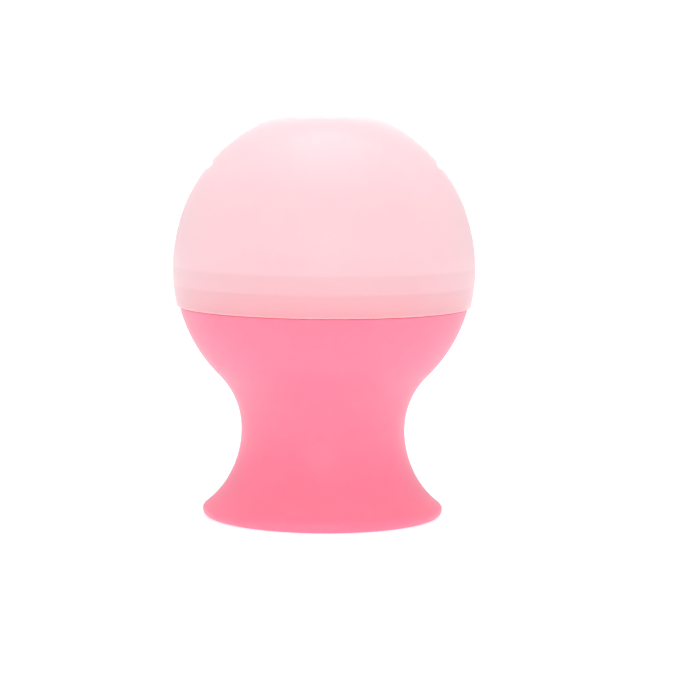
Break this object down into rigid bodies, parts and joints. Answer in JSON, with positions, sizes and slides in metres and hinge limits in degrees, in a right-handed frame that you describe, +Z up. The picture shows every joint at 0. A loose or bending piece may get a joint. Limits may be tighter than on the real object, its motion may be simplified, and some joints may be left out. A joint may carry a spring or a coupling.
{
  "type": "silicone cupping cup",
  "caption": "Moulded silicone massage cup: a hollow ball with a lift-off dome, a narrow grip waist, a flared open foot and a pull-out stopper.",
  "frame": {"origin": "centre of the foot's resting plane", "axes": "+Z up along the axis of revolution, from the foot to the flat on the dome's crown; the stopper's pull tab is flat to Y"},
  "size_m": [0.072, 0.072, 0.095],
  "materials": {
    "deep_pink_silicone": "satin moulded silicone",
    "pale_pink_silicone": "translucent satin moulded silicone",
    "stopper_silicone": "satin moulded silicone"
  },
  "bodies": {
    "base": {"holder_base": "deep_pink_silicone"},
    "dome": {"mould_dome": "pale_pink_silicone"},
    "stopper": {"fill_stopper": "stopper_silicone"}
  },
  "joints": [
    {"name": "dome_lift", "type": "slide", "parent": "base", "child": "dome", "axis": [0, 0, 1], "range_m": [0, 0.05]},
    {"name": "stopper_pull", "type": "slide", "parent": "base", "child": "stopper", "axis": [0, 0, -1], "range_m": [0, 0.036]}
  ]
}
